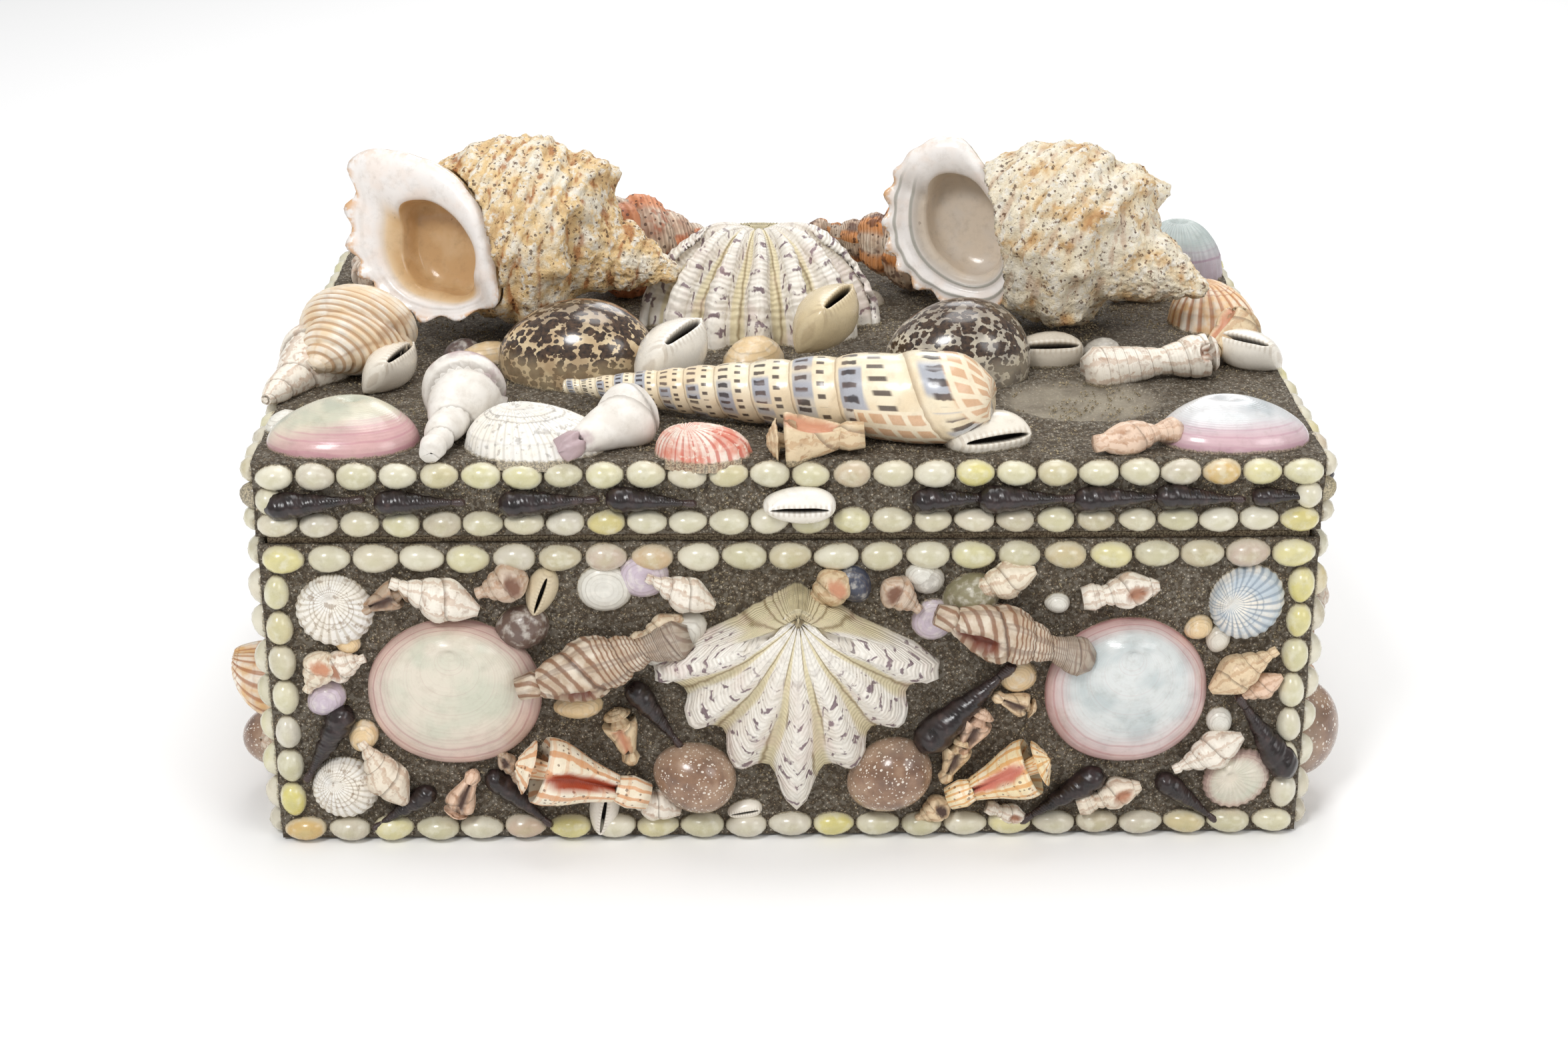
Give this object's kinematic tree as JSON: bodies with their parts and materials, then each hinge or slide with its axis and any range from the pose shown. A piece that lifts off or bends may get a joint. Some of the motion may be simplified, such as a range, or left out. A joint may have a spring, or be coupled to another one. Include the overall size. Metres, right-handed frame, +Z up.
{
  "type": "shell-covered keepsake box",
  "caption": "Rectangular wooden keepsake box with a loose lid, coated in sanded mortar and covered with sea shells; holds small things.",
  "frame": {"origin": "middle of the underside of the box's boards", "axes": "+Z up, +X to the right along the box's length seen from the front, -Y out of the front with the big fan shell"},
  "size_m": [0.536, 0.3751, 0.2944],
  "materials": {
    "reddish_wood": "red-brown stained softwood, dull",
    "sanded_mortar": "grey-brown mortar with coarse shell sand, rough",
    "money_cowrie": "small glossy cream to yellow-green cowries",
    "frog_shell": "cream with orange-brown streaks, dull outside, satin inside the lip",
    "triton_shell": "mottled red-brown and cream, satin",
    "tiger_cowrie": "cream to blue-grey with dense dark spots, glossy",
    "bear_paw_clam": "white with purple-brown dashes in rows, cream in the furrows",
    "marlinspike_shell": "cream with dark dashes and blue-grey squares, polished",
    "ribbed_shell": "tan and cream spiral ribs",
    "pale_clam": "smooth white to cream with pink margins, polished",
    "brown_cowrie": "brown with fine white speckles, glossy",
    "whelk_shell": "brown and cream bands, satin",
    "cone_shell": "cream with orange-brown specks, polished",
    "white_shell": "white, polished",
    "black_shell": "black-brown, glossy",
    "small_shell": "mixed small shells, cream, orange, grey and pink"
  },
  "bodies": {
    "root": {"bear_paw_front": "bear_paw_clam", "bear_paw_lid": "bear_paw_clam", "box_back_board": "reddish_wood", "box_back_left_cowrie_column": "money_cowrie", "box_back_lower_cowrie_row": "money_cowrie", "box_back_right_cowrie_column": "money_cowrie", "box_back_upper_cowrie_row": "money_cowrie", "box_bottom_board": "reddish_wood", "box_front_board": "reddish_wood", "box_front_left_cowrie_column": "money_cowrie", "box_front_lower_cowrie_row": "money_cowrie", "box_front_right_cowrie_column": "money_cowrie", "box_front_upper_cowrie_row": "money_cowrie", "box_left_board": "reddish_wood", "box_left_left_cowrie_column": "money_cowrie", "box_left_lower_cowrie_row": "money_cowrie", "box_left_right_cowrie_column": "money_cowrie", "box_left_upper_cowrie_row": "money_cowrie", "box_mortar_coat": "sanded_mortar", "box_right_board": "reddish_wood", "box_right_left_cowrie_column": "money_cowrie", "box_right_lower_cowrie_row": "money_cowrie", "box_right_right_cowrie_column": "money_cowrie", "box_right_upper_cowrie_row": "money_cowrie", "brown_cowrie_left": "brown_cowrie", "brown_cowrie_right": "brown_cowrie", "cone_left": "cone_shell", "cone_right": "cone_shell", "end_cowrie_right": "brown_cowrie", "end_shell_left_lower": "brown_cowrie", "end_shell_left_upper": "brown_cowrie", "frog_shell_left": "frog_shell", "frog_shell_right": "frog_shell", "lid_back_lower_cowrie_row": "money_cowrie", "lid_back_rail": "reddish_wood", "lid_back_upper_cowrie_row": "money_cowrie", "lid_front_lower_cowrie_row": "money_cowrie", "lid_front_rail": "reddish_wood", "lid_front_upper_cowrie_row": "money_cowrie", "lid_left_lower_cowrie_row": "money_cowrie", "lid_left_rail": "reddish_wood", "lid_left_upper_cowrie_row": "money_cowrie", "lid_mortar_coat": "sanded_mortar", "lid_right_lower_cowrie_row": "money_cowrie", "lid_right_rail": "reddish_wood", "lid_right_upper_cowrie_row": "money_cowrie", "lid_top_board": "reddish_wood", "marlinspike": "marlinspike_shell", "panel_clam_left": "pale_clam", "panel_clam_right": "pale_clam", "tellin_lid_left": "pale_clam", "tellin_lid_right": "pale_clam", "thumb_cowrie": "white_shell", "tiger_cowrie_left": "tiger_cowrie", "tiger_cowrie_right": "tiger_cowrie", "triton_left": "triton_shell", "triton_right": "triton_shell", "tun_shell": "ribbed_shell", "whelk_left": "whelk_shell", "whelk_right": "whelk_shell"}
  },
  "joints": []
}
